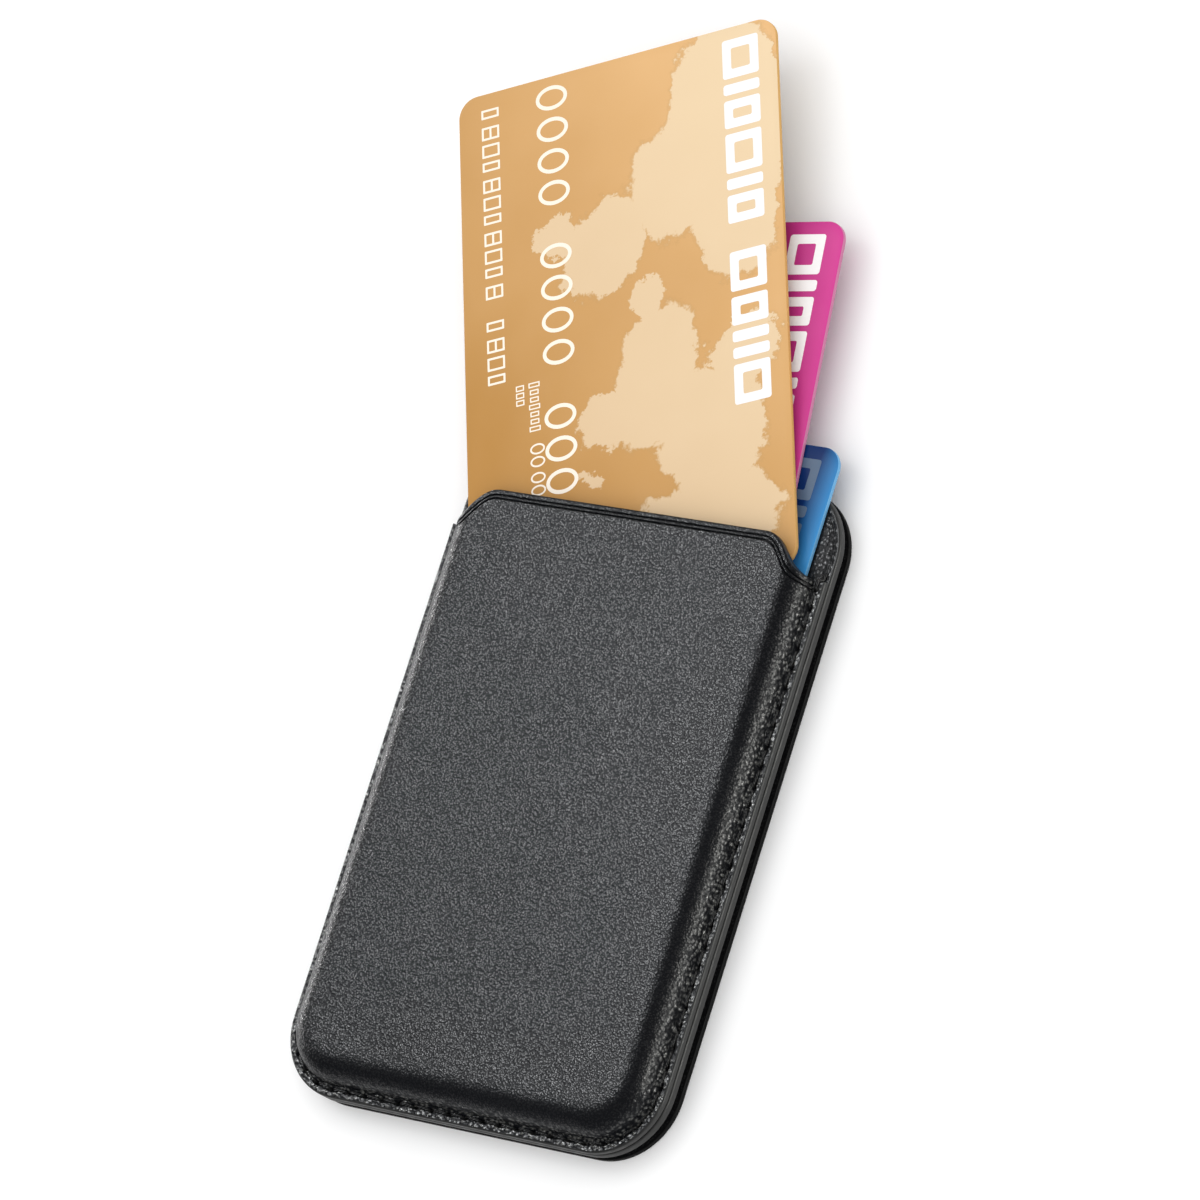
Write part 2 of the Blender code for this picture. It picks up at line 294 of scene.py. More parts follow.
def fibre_board(name, colour):
    g = Graph(name)
    at = g.coordinates()
    fibres = g.node("ShaderNodeMapping", None, Vector=at)
    fibres.inputs["Scale"].default_value = (900.0, 900.0, 6000.0)
    pressed = g.noise(fibres.outputs[0], 1.0, 4.0, 0.7)["Fac"]
    g.set(Base_Color=g.mix(pressed, shade(colour, 0.5), shade(colour, 1.6)))
    g.set(Roughness=g.remap(pressed, 0.3, 0.7, 0.75, 0.95), Normal=g.bump(pressed, 0.05 * MM))
    return g.material


def metal(name, colour, roughness, brushed):
    """Brushed sheet or plated magnet, with fine scratches."""
    g = Graph(name)
    at = g.coordinates()
    lines = g.node("ShaderNodeMapping", None, Vector=at)
    lines.inputs["Scale"].default_value = (60.0, brushed, 60.0)
    scratch = g.noise(lines.outputs[0], 1.0, 3.0)["Fac"]
    stain = g.noise(at, 180.0, 3.0)["Fac"]
    g.set(Base_Color=g.mix(stain, shade(colour, 0.8), colour), Metallic=1.0)
    g.set(Roughness=g.remap(scratch, 0.3, 0.7, roughness - 0.08, roughness + 0.12))
    g.set(Normal=g.bump(scratch, 0.01 * MM, 0.5))
    return g.material


def laminate(g, colour):
    """The clear satin film over a printed card, slightly orange-peeled."""
    at = g.coordinates()
    peel = g.noise(at, 900.0, 2.0)["Fac"]
    rubbed = g.noise(at, 90.0, 4.0, 0.6)["Fac"]
    g.set(Base_Color=colour, Roughness=g.remap(rubbed, 0.3, 0.7, 0.42, 0.58))
    g.set(Normal=g.bump(peel, 0.01 * MM, 0.35), Specular_IOR_Level=SATIN_SHINE)
    return g.material


def blob(g, at, centre, size, turn):
    """Distance from an ellipse in card millimetres, below 1 inside."""
    placed = g.node("ShaderNodeMapping", {"vector_type": "TEXTURE"}, Vector=at)
    placed.inputs["Location"].default_value = (centre[0], centre[1], 0.0)
    placed.inputs["Rotation"].default_value = (0.0, 0.0, math.radians(turn))
    placed.inputs["Scale"].default_value = (size[0], size[1], 1000.0)
    return g.length(placed.outputs[0])


# Land masses of an imaginary map, in millimetres from the card's centre: centre, half sizes, turn
LANDS = (
    ((17, 34), (8, 10), -25), ((12, 22), (11, 9), 35), ((19, 12), (7, 9), 10), ((23, 27), (5, 14), 0),
    ((-3, 13), (6.5, 8), -30), ((-11, 17), (4, 3), 10), ((4, 3.5), (2.5, 3.5), 0),
    ((5, -9), (7, 11), -20), ((-3, -14), (5, 4.5), 0), ((14, -19), (9, 10), 25), ((20, -8), (6, 5), 15),
    ((-6, -23), (2.5, 1.3), -25), ((13, -33), (12, 7), 0),
)


def gold_print():
    """Gold fading from lower left to upper right, with a pale map of an imaginary world."""
    g = Graph("card_gold_print")
    at = g.coordinates()
    card = g.node("ShaderNodeVectorMath", {"operation": "SCALE"}, i0=at)
    card.inputs["Scale"].default_value = 1000.0
    card = card.outputs[0]
    split = g.node("ShaderNodeSeparateXYZ", None, Vector=card)
    ramp = g.math("ADD", g.math("MULTIPLY", split.outputs["X"], 0.012),
                  g.math("MULTIPLY", split.outputs["Y"], 0.008))
    cloud = g.math("MULTIPLY", g.math("SUBTRACT", g.noise(card, 0.035, 2.0)["Fac"], 0.5), 0.5)
    fade = g.math("ADD", g.math("ADD", ramp, 0.42), cloud, clamp=True)
    gold = g.mix(fade, (0.46, 0.23, 0.055), (0.74, 0.45, 0.20))
    ragged = g.noise(card, 0.22, 7.0, 0.72)["Color"]
    shifted = g.node("ShaderNodeVectorMath", {"operation": "MULTIPLY_ADD"}, i0=ragged, i1=(9.0, 9.0, 0.0),
                     i2=card)
    centred = g.node("ShaderNodeVectorMath", {"operation": "SUBTRACT"}, i0=shifted.outputs[0],
                     i1=(4.5, 4.5, 0.0))
    nearest = None
    for centre, size, turn in LANDS:
        found = blob(g, centred.outputs[0], centre, size, turn)
        nearest = found if nearest is None else g.math("MINIMUM", nearest, found)
    land = g.remap(nearest, 0.97, 1.03, 1.0, 0.0)
    coast = g.math("MULTIPLY", g.remap(nearest, 1.02, 1.1, 1.0, 0.0), 0.35)
    sea = g.mix(coast, gold, (0.48, 0.28, 0.10))
    pale = g.mix(fade, (0.66, 0.47, 0.28), (0.78, 0.60, 0.38))
    return laminate(g, g.mix(land, sea, pale))


def print_with_ramp(name, low, high, ramp_x, ramp_y, offset):
    """A one-colour print with a ramp from its low colour to its high one across the card."""
    g = Graph(name)
    at = g.coordinates()
    split = g.node("ShaderNodeSeparateXYZ", None, Vector=at)
    ramp = g.math("ADD", g.math("MULTIPLY", split.outputs["X"], ramp_x),
                  g.math("MULTIPLY", split.outputs["Y"], ramp_y))
    cloud = g.math("MULTIPLY", g.math("SUBTRACT", g.noise(at, 60.0, 2.0)["Fac"], 0.5), 0.2)
    fade = g.math("ADD", g.math("ADD", ramp, offset), cloud, clamp=True)
    return laminate(g, g.mix(fade, low, high))


def ink(name, colour, roughness=0.4):
    g = Graph(name)
    at = g.coordinates()
    speckle = g.noise(at, 1500.0, 3.0)["Fac"]
    g.set(Base_Color=g.mix(speckle, shade(colour, 0.92), colour))
    g.set(Roughness=g.remap(speckle, 0.3, 0.7, roughness - 0.05, roughness + 0.08))
    g.set(Normal=g.bump(speckle, 0.004 * MM, 0.4), Specular_IOR_Level=SATIN_SHINE)
    return g.material


def floor_material():
    g = Graph("floor_paint")
    at = g.coordinates()
    grain = g.noise(at, 30.0, 3.0)["Fac"]
    g.set(Base_Color=g.mix(grain, (0.93, 0.93, 0.93), (0.96, 0.96, 0.96)), Roughness=0.7)
    return g.material


# ---------------------------------------------------------------- mesh helpers
def new_mesh(name, points, faces, materials, slots=None):
    data = bpy.data.meshes.new(name)
    data.from_pydata([tuple(p) for p in points], [], faces)
    for material in materials:
        data.materials.append(material)
    if slots is not None:
        data.polygons.foreach_set("material_index", slots)
    data.validate()
    data.shade_smooth()
    made = bpy.data.objects.new(name, data)
    bpy.context.scene.collection.objects.link(made)
    return made


def at_height(outline, z):
    return np.column_stack([outline, np.full(len(outline), z)])


def arc_points(cx, cy, radius, start, end, steps):
    angles = np.radians(np.linspace(start, end, steps + 1))
    return np.column_stack([cx + radius * np.cos(angles), cy + radius * np.sin(angles)])


def scoop_samples():
    """The right-hand S-curve of the mouth, from the end of the flange up to the lip."""
    p0 = np.array([SCOOP_OUTER, FLANGE_END])
    p1 = np.array([SCOOP_OUTER - 2.8 * MM, FLANGE_END + 0.2 * MM])
    p2 = np.array([SCOOP_INNER + 3.8 * MM, LIP])
    p3 = np.array([SCOOP_INNER, LIP])
    t = np.linspace(0, 1, 200)[:, None]
    return p0 * (1 - t) ** 3 + 3 * p1 * t * (1 - t) ** 2 + 3 * p2 * t * t * (1 - t) + p3 * t**3


SCOOP = scoop_samples()[::-1]


def mouth_y(x):
    """Where a fore-and-aft line at this distance from the middle meets the mouth."""
    return float(np.interp(abs(x), SCOOP[:, 0], SCOOP[:, 1]))


SIDE_STEP = STITCH_PITCH / 8
SIDE_TOP = 30 * MM
SIDE_COUNT = round((SIDE_TOP + HALF_LENGTH - CORNER_RADIUS) / SIDE_STEP)
FAN_COUNT = 14
ARC_COUNT = 36
END_COUNT = round(2 * (HALF_WIDTH - CORNER_RADIUS) / SIDE_STEP)

# Distances from the mouth's edge, closest where the edge rounds over and where the creases run
MOUTH_STEPS = np.concatenate([
    LIP_ROUND * (1 - np.cos(np.linspace(0, np.pi / 2, 7))),
    np.linspace(0.5, 0.7, 3) * MM,
    np.linspace(CREASES[0] - CREASE_HALF, CREASES[0] + CREASE_HALF, 9),
    np.linspace(CREASES[1] - CREASE_HALF, CREASES[1] + CREASE_HALF, 9),
    np.linspace(1.7, 2.2, 4) * MM,
])


def mouth_stretch(insets, heights):
    """How much longer the way down from the mouth's edge is than straight across it, at each inset."""
    xs = HALF_WIDTH - insets
    edge = np.column_stack([xs, [mouth_y(x) for x in xs], heights])
    tangent = np.gradient(edge, axis=0)
    lean = tangent[:, 1] / np.maximum(np.linalg.norm(tangent, axis=1), 1e-12)
    return 1 / np.sqrt(np.clip(1 - lean**2, 0.2, 1))


def pocket_ring(inset, stretch=1.0):
    """A line of the front panel parallel to its outline: down the left, round the closed end and up."""
    radius = max(CORNER_RADIUS - inset, LEAST_RADIUS)
    x = HALF_WIDTH - inset
    low = -HALF_LENGTH + inset
    turn_y = low + radius
    near = mouth_y(x) - MOUTH_STEPS * stretch
    fan = np.linspace(near[-1], SIDE_TOP, FAN_COUNT + 1)[1:]
    far = np.linspace(SIDE_TOP, turn_y, SIDE_COUNT + 1)[1:-1]
    ys = np.concatenate([near, fan, far])
    left = np.column_stack([np.full(len(ys), -x), ys])
    corner_left = arc_points(-x + radius, turn_y, radius, 180, 270, ARC_COUNT)
    bottom_x = np.linspace(-x + radius, x - radius, END_COUNT + 1)[1:-1]
    bottom = np.column_stack([bottom_x, np.full(len(bottom_x), low)])
    corner_right = arc_points(x - radius, turn_y, radius, 270, 360, ARC_COUNT)
    return np.concatenate([left, corner_left, bottom, corner_right, left[::-1] * (-1, 1)])


def front_profile():
    """The sheet's section from the rim to the middle, outside and inside, and where its rim ends."""
    r = EDGE_ROUND
    rows = [*arc_points(r, FLANGE_UNDER + r, r, 270, 180, 4), *arc_points(r, FLANGE_TOP - r, r, 180, 90, 6)]
    rim = len(rows)
    for inset in np.linspace(EDGE_ROUND, FLANGE_WIDTH, 26)[1:]:
        rows.append((inset, FLANGE_TOP))
    foot = len(rows)
    steps = 28
    rise = PLATEAU_TOP - FLANGE_TOP
    for i in range(1, steps + 1):
        angle = math.pi / 2 * i / steps
        run = 1 - math.cos(angle) ** (2 / SHOULDER_POWER)
        share = math.sin(angle) ** (2 / FOOT_POWER)
        rows.append((FLANGE_WIDTH + WALL_RUN * run, FLANGE_TOP + rise * share))
    top = np.array(rows)
    for _ in range(3):
        before, here, after = (top[foot - 3 + k : foot + 4 + k] for k in (-1, 0, 1))
        top[foot - 3 : foot + 4] = (before + 2 * here + after) / 4
    inner = np.concatenate([np.arange(FLANGE_WIDTH + WALL_RUN, MIDDLE_ROWS[0], 0.4 * MM)[1:],
                            np.arange(*MIDDLE_ROWS, 1 * MM)])
    top = np.concatenate([top, np.column_stack([inner, np.full(len(inner), PLATEAU_TOP)])])
    tangent = np.gradient(top, axis=0)
    tangent /= np.linalg.norm(tangent, axis=1)[:, None]
    under = top + FORMED_LEATHER * np.column_stack([tangent[:, 1], -tangent[:, 0]])
    under[:foot, 0] = np.linspace(EDGE_ROUND + 0.02 * MM, FLANGE_WIDTH - 0.05 * MM, foot)
    under[:foot, 1] = FLANGE_UNDER
    under[foot:, 1] = np.maximum(under[foot:, 1], FLANGE_UNDER)
    under[foot:, 0] = np.maximum.accumulate(np.maximum(under[foot:, 0], FLANGE_WIDTH))
    return top, under, rim


def grid_normals(grid):
    along = np.gradient(grid, axis=1)
    across = np.gradient(grid, axis=0)
    normals = np.cross(along, across)
    normals /= np.maximum(np.linalg.norm(normals, axis=2), 1e-12)[..., None]
    return normals


def seam_holes():
    """Needle holes along the seam, from the left end of the flange round to the right."""
    line = pocket_ring(SEAM_INSET)
    steps = np.linalg.norm(np.diff(line, axis=0), axis=1)
    walked = np.concatenate([[0], np.cumsum(steps)])
    count = round((walked[-1] - 2 * SEAM_MARGIN) / STITCH_PITCH)
    at = np.linspace(SEAM_MARGIN, walked[-1] - SEAM_MARGIN, count + 1)
    return np.column_stack([np.interp(at, walked, line[:, 0]), np.interp(at, walked, line[:, 1])])


def hole_relief(grid, rows, holes):
    """How deep each point of these rows sits in a needle hole: long along the seam, narrow across it."""
    ahead = np.gradient(holes, axis=0)
    ahead /= np.linalg.norm(ahead, axis=1)[:, None]
    depth = np.zeros((len(rows), grid.shape[1]))
    for k, row in enumerate(rows):
        offset = grid[row][:, None, :2] - holes[None]
        nearest = (offset**2).sum(2).argmin(1)
        offset = offset[np.arange(len(nearest)), nearest]
        along = (offset * ahead[nearest]).sum(1) / HOLE_HALF[0]
        across = (offset[:, 0] * ahead[nearest, 1] - offset[:, 1] * ahead[nearest, 0]) / HOLE_HALF[1]
        depth[k] = np.exp(-(along**2 + across**2) ** 1.3)
    return depth


def furrow(at, line, half):
    """Share of a furrow's depth: 1 on its line, fading to 0 at its half width."""
    return 0.5 * (1 + np.cos(np.pi * np.minimum(np.abs(at - line) / half, 1)))


def front_relief(grid, normals, top, rim, holes):
    """All that is pressed into the outer face: seam groove, needle holes, rounded lip and double crease."""
    rows, columns = grid.shape[:2]
    push = np.zeros((rows, columns))
    inset = top[:, 0]
    flat = np.arange(rows) >= rim
    push -= (GROOVE_DEPTH * furrow(inset, SEAM_INSET, GROOVE_HALF) * flat)[:, None]
    near_seam = np.flatnonzero((np.abs(inset - SEAM_INSET) < SEAM_REACH) & flat)
    push[near_seam] -= HOLE_DEPTH * hole_relief(grid, near_seam, holes)
    count = len(MOUTH_STEPS)
    away = np.full(columns, np.inf)
    away[:count] = away[-count:][::-1] = MOUTH_STEPS
    inside = np.clip(1 - away / LIP_ROUND, 0, 1)
    push -= (LIP_ROUND * (1 - np.sqrt(1 - inside**2)) * 0.9)[None, :] * flat[:, None]
    off_flange = np.clip((inset - SEAM_INSET) / CREASE_FADE, 0, 1)[:, None]
    for line in CREASES:
        push -= off_flange * (CREASE_DEPTH * furrow(away, line, CREASE_HALF))[None, :]
    puff = sum(share * np.exp(-(((away - line) / half) ** 2)) for line, half, share in PUFFS)
    push += PUFF_HEIGHT * puff[None, :] * off_flange
    slack = SLACK * (np.sin(grid[..., 0] * 120 + 0.7) + np.sin(grid[..., 1] * 95 + grid[..., 0] * 60))
    push += slack * (inset > FLANGE_WIDTH)[:, None]
    return grid + normals * push[..., None]


def closing_faces(start, columns, flip):
    """Faces inside the innermost ring: strips from side to side, and one face round the closed end."""
    side = len(MOUTH_STEPS) + FAN_COUNT + SIDE_COUNT - 2
    faces = [(c, c + 1, columns - 2 - c, columns - 1 - c) for c in range(side)]
    faces.append(tuple(range(side, columns - side)))
    return [tuple(start + i for i in (face[::-1] if flip else face)) for face in faces]


def build_front_panel(materials, holes):
    """The pressed front sheet as one closed skin, its rim and lip painted."""
    top, under, rim = front_profile()
    stretch = mouth_stretch(top[:, 0], top[:, 1])
    sheets = []
    for profile in (top, under):
        rings = [at_height(pocket_ring(e, q), z) for (e, z), q in zip(profile, stretch)]
        sheets.append(np.array(rings))
    outer, inner = sheets
    outer = front_relief(outer, grid_normals(outer), top, rim, holes)
    rows, columns = outer.shape[:2]
    below = rows * columns
    faces, slots = [], []
    for r in range(rows - 1):
        for c in range(columns - 1):
            a = r * columns + c
            faces.append((a, a + 1, a + columns + 1, a + columns))
            edge = r < rim - 2 or min(c, columns - 2 - c) < 3
            slots.append(1 if edge else 0)
            b = below + a
            faces.append((b, b + columns, b + columns + 1, b + 1))
            slots.append(2)
    for c in range(columns - 1):
        faces.append((c + 1, c, below + c, below + c + 1))
    for r in range(rows - 1):
        a, b = r * columns, (r + 1) * columns
        faces.append((a, b, below + b, below + a))
        a, b = a + columns - 1, b + columns - 1
        faces.append((b, a, below + a, below + b))
    last = (rows - 1) * columns
    faces.append((last, last + columns - 1, below + last + columns - 1, below + last))
    slots += [1] * (len(faces) - len(slots))
    for start, flip, slot in ((last, False, 0), (below + last, True, 2)):
        closing = closing_faces(start, columns, flip)
        faces += closing
        slots += [slot] * len(closing)
    points = np.concatenate([outer.reshape(-1, 3), inner.reshape(-1, 3)])
    return new_mesh("front_panel_skin", points, faces, materials, slots)


def rounded_loop(half_x, half_y, radius, steps=20, straight=24):
    """Closed outline with points along its straights, anticlockwise from the lower left."""
    x, y = half_x - radius, half_y - radius
    corners = ((-x, -y, 180), (x, -y, 270), (x, y, 0), (-x, y, 90))
    out = []
    for index, (cx, cy, start) in enumerate(corners):
        arc = arc_points(cx, cy, radius, start, start + 90, steps)
        nx, ny, first = corners[(index + 1) % 4]
        ahead = arc_points(nx, ny, radius, first, first, 0)[0]
        run = arc[-1] + (ahead - arc[-1]) * np.linspace(0, 1, straight + 1)[1:-1, None]
        out += [arc, run]
    return np.concatenate(out)


def build_plate(name, half_x, half_y, radius, profile, materials, slots):
    """A closed sheet lofted from its middle underside, round its rim, to its middle top side.

    profile is a list of (inset, height), and slots the material of the band that ends at each of them.
    """
    loops = []
    for inset, z in profile:
        loop = rounded_loop(half_x - inset, half_y - inset, max(radius - inset, 0.5 * MM))
        loops.append(at_height(loop, z))
    count = len(loops[0])
    faces, marks = [tuple(reversed(range(count)))], [slots[0]]
    for k in range(len(loops) - 1):
        for i in range(count):
            j = (i + 1) % count
            faces.append((k * count + i, k * count + j, (k + 1) * count + j, (k + 1) * count + i))
            marks.append(slots[k + 1])
    faces.append(tuple(range((len(loops) - 1) * count, len(loops) * count)))
    marks.append(slots[-1])
    return new_mesh(name, np.concatenate(loops), faces, materials, marks)


def rim_profile(low, high, round_low, round_high, creases=()):
    """A sheet's section: flat underside, rounded rim, flat top with creases pressed along it."""
    rows = [(4 * MM, low), (1.2 * MM, low),
            *arc_points(round_low, low + round_low, round_low, 270, 180, 4),
            *arc_points(round_high, high - round_high, round_high, 180, 90, 5)]
    rim = len(rows)
    for at, depth, half in creases:
        for share in (-1, -0.5, 0, 0.5, 1):
            rows.append((at + share * half, high - depth * furrow(share, 0, 1)))
    rows += [(3 * MM, high), (6 * MM, high)]
    return rows, [0, 0] + [1] * (rim - 2) + [0] * (len(rows) - rim)


def sweep(points, radius, sides=8):
    """Rings of a tube along the points, and its faces."""
    points = np.asarray(points)
    tangent = np.gradient(points, axis=0)
    tangent /= np.linalg.norm(tangent, axis=1)[:, None]
    side = np.cross(tangent, (0.31, 0.23, 0.92))
    side /= np.maximum(np.linalg.norm(side, axis=1), 1e-9)[:, None]
    up = np.cross(side, tangent)
    angles = np.linspace(0, 2 * math.pi, sides, endpoint=False)
    cos, sin = np.cos(angles)[None, :, None], np.sin(angles)[None, :, None]
    verts = (points[:, None] + radius * (cos * side[:, None] + sin * up[:, None])).reshape(-1, 3)
    faces = [tuple(range(sides))]
    for k in range(len(points) - 1):
        for i in range(sides):
            j = (i + 1) % sides
            faces.append((k * sides + j, k * sides + i, (k + 1) * sides + i, (k + 1) * sides + j))
    faces.append(tuple(reversed(range((len(points) - 1) * sides, len(points) * sides))))
    return verts, faces


def twist(path, plies=2, turn_length=1.15 * MM):
    """The plies of a thread that follows the path."""
    path = np.asarray(path)
    step = np.linalg.norm(np.diff(path, axis=0), axis=1)
    walked = np.concatenate([[0], np.cumsum(step)])
    tangent = np.gradient(path, axis=0)
    tangent /= np.linalg.norm(tangent, axis=1)[:, None]
    side = np.cross(tangent, (0, 0, 1.0))
    side /= np.maximum(np.linalg.norm(side, axis=1), 1e-9)[:, None]
    up = np.cross(side, tangent)
    out = []
    for ply in range(plies):
        phase = 2 * math.pi * (walked / turn_length + ply / plies)
        out.append(path + PLY_RADIUS * 0.85 * (np.cos(phase)[:, None] * side + np.sin(phase)[:, None] * up))
    return out


def stitch_path(a, b, lean):
    """One stitch: out of a needle hole, along the groove and down the next hole."""
    run = b - a
    length = np.linalg.norm(run)
    forward = run / length
    across = np.array([-forward[1], forward[0]])
    crest = FLANGE_TOP - GROOVE_DEPTH + PLY_RADIUS * 0.9
    out = []
    for t in np.linspace(0, 1, 19):
        dive = max(0.0, 1 - min(t, 1 - t) / 0.16)
        height = crest + STITCH_RISE * math.sin(math.pi * t) - STITCH_DIVE * dive**1.8
        where = a + forward * (0.07 * length + 0.86 * length * t) + across * lean * (1 - 2 * t)
        out.append((where[0], where[1], height))
    return out


def tack_path(side, offset):
    """A strand that leaves the last hole, wraps over the flange's end and goes into the back panel."""
    x = side * (HALF_WIDTH - SEAM_INSET + offset)
    top = FLANGE_TOP + 0.04 * MM
    back = back_high.z
    keys = np.array([
        (x, FLANGE_END - 1.45 * MM, top - 0.8 * MM), (x, FLANGE_END - 1.2 * MM, top - 0.02 * MM),
        (x, FLANGE_END - 0.5 * MM, top + 0.12 * MM), (x, FLANGE_END + 0.12 * MM, top + 0.02 * MM),
        (x, FLANGE_END + 0.32 * MM, top - 0.55 * MM), (x, FLANGE_END + 0.55 * MM, back + 0.3 * MM),
        (x, FLANGE_END + 1.1 * MM, back + 0.16 * MM), (x, FLANGE_END + 1.5 * MM, back - 0.3 * MM)])
    t = np.linspace(0, len(keys) - 1, 40)
    return np.column_stack([np.interp(t, range(len(keys)), keys[:, i]) for i in range(3)])


def build_stitches(material, holes):
    paths = []
    for a, b in zip(holes, holes[1:]):
        paths += twist(stitch_path(a, b, 0.1 * MM))
    for side in (-1, 1):
        for offset in (-0.2 * MM, 0.22 * MM):
            paths += twist(tack_path(side, offset))
    verts, faces, base = [], [], 0
    for path in paths:
        v, f = sweep(path, PLY_RADIUS)
        verts.append(v)
        faces += [tuple(i + base for i in face) for face in f]
        base += len(v)
    return new_mesh("seam_stitches", np.concatenate(verts), faces, [material])


# ---------------------------------------------------------------- cards
CARD_HALF = (26.99 * MM, 42.80 * MM)
CARD_THICKNESS = 0.76 * MM
CARD_RADIUS = 3.18 * MM
INK_THICKNESS = 0.02 * MM


def card_place(node):
    """The card's own frame: its centre, its turn from the slide's axis and its lean from its height."""
    low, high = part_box(node)
    centre = (low + high) / 2
    body = next(b for b, names in frame["record"]["behaviour"]["bodies"].items() if node in names)
    axis = next(j["axis"] for j in frame["joints"] if j["child"] == body)
    turn = math.atan2(-axis[0], axis[1])
    lean = math.asin(max(0.0, (high.z - low.z - CARD_THICKNESS) / (2 * CARD_HALF[1])))
    return Matrix.Translation(centre) @ Matrix.Rotation(turn, 4, "Z") @ Matrix.Rotation(lean, 4, "X"), body


def build_card(node, front, core, back):
    """A laminated card: printed faces, a pale core at the edge, softened corners."""
    t = CARD_THICKNESS / 2
    r = 0.1 * MM
    half = [(0, t - r), (r * 0.3, t - r * 0.3), (r, t), (1.5 * MM, t)]
    profile = [(inset, -z) for inset, z in reversed(half)] + half
    slots = [2, 2, 2, 1, 1, 1, 0, 0]
    made = build_plate(node + "_body", *CARD_HALF, CARD_RADIUS, profile, [front, core, back], slots)
    place, body = card_place(node)
    made.matrix_world = place
    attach(made, body)
    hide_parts(node)
    return place, body


def ellipse(cx, cy, a, b, steps=28):
    angles = np.linspace(0, 2 * math.pi, steps, endpoint=False)
    return np.column_stack([cx + a * np.cos(angles), cy + b * np.sin(angles)])


def bar(cx, cy, half_x, half_y, radius):
    return rounded_loop(half_x, half_y, radius, 4, 1) + (cx, cy)


def print_layer(name, outlines, place, body, material, above=True):
    """Thin ink shapes on a card's face, from closed outlines in its frame. Nested outlines are holes."""
    data = bpy.data.curves.new(name, "CURVE")
    data.dimensions = "2D"
    data.fill_mode = "BOTH"
    data.extrude = INK_THICKNESS / 2
    for outline in outlines:
        spline = data.splines.new("POLY")
        spline.points.add(len(outline) - 1)
        for point, (x, y) in zip(spline.points, outline):
            point.co = (x, y, 0, 1)
        spline.use_cyclic_u = True
    curve = bpy.data.objects.new(name + "_outline", data)
    bpy.context.scene.collection.objects.link(curve)
    bpy.context.view_layer.update()
    graph = bpy.context.evaluated_depsgraph_get()
    mesh = bpy.data.meshes.new_from_object(curve.evaluated_get(graph))
    bpy.data.objects.remove(curve, do_unlink=True)
    mesh.materials.clear()
    mesh.materials.append(material)
    made = bpy.data.objects.new(name, mesh)
    bpy.context.scene.collection.objects.link(made)
    lift = CARD_THICKNESS / 2 + INK_THICKNESS * 0.4
    made.matrix_world = place @ Matrix.Translation((0, 0, lift if above else -lift))
    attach(made, body)
    return made


def ring(x, y, half_x, half_y, stroke):
    return [ellipse(x, y, half_x, half_y), ellipse(x, y, half_x - stroke, half_y - stroke)]


def number_rings():
    """Groups of four plain rings where a number would be."""
    out = []
    x = -CARD_HALF[0] + 16.0 * MM
    for k in range(12):
        y = CARD_HALF[1] - 3.5 * MM - (k // 4) * 25.4 * MM - (k % 4) * 5.1 * MM
        out += ring(x, y, 2.7 * MM, 1.95 * MM, 0.62 * MM)
    return out


def block(x, top, length, half_x, stroke):
    """A plain block, hollow where it is long enough."""
    y = top - length / 2
    out = [bar(x, y, half_x, length / 2, 0.3 * stroke)]
    if length > 2.6 * stroke:
        out.append(bar(x, y, half_x - stroke, length / 2 - stroke, 0.2 * stroke))
    return out


def title_bars():
    """A bold band of plain blocks where a title would be."""
    out = []
    x = CARD_HALF[0] - 6.0 * MM
    y = CARD_HALF[1] - 2.0 * MM
    for length in (6.2, 1.7, 4.4, 6.2, 1.7, 4.4, 0, 6.2, 4.4, 1.7, 1.7, 6.2):
        if length:
            out += block(x, y, length * MM, 3.0 * MM, 1.45 * MM)
        y -= (length + 0.9 if length else 3.6) * MM
    return out


def name_bars():
    """Fine blocks where a name would be, and a shorter line for a date."""
    out = []
    x = -CARD_HALF[0] + 5.4 * MM
    y = CARD_HALF[1] - 2.6 * MM
    for k in range(16):
        if k != 11:
            out += block(x, y, (2.1 if k % 3 else 1.5) * MM, 1.5 * MM, 0.34 * MM)
            if k % 3 == 1:
                out.append(bar(x, y - 1.05 * MM, 0.17 * MM, 0.71 * MM, 0.05 * MM))
        y -= 2.85 * MM
    x += 6.3 * MM
    y = CARD_HALF[1] - 48 * MM
    for k in range(7):
        out += block(x, y, 0.8 * MM, (0.75 if k % 3 else 0.95) * MM, 0.2 * MM)
        if k < 3:
            out += block(x - 2.4 * MM, y, 0.9 * MM, 0.7 * MM, 0.2 * MM)
        y -= 1.15 * MM
    for k in range(4):
        y -= (2.0 if k % 2 else 2.5) * MM
        out += ring(x + 0.3 * MM, y, 1.25 * MM, 0.85 * MM, 0.28 * MM)
    return out


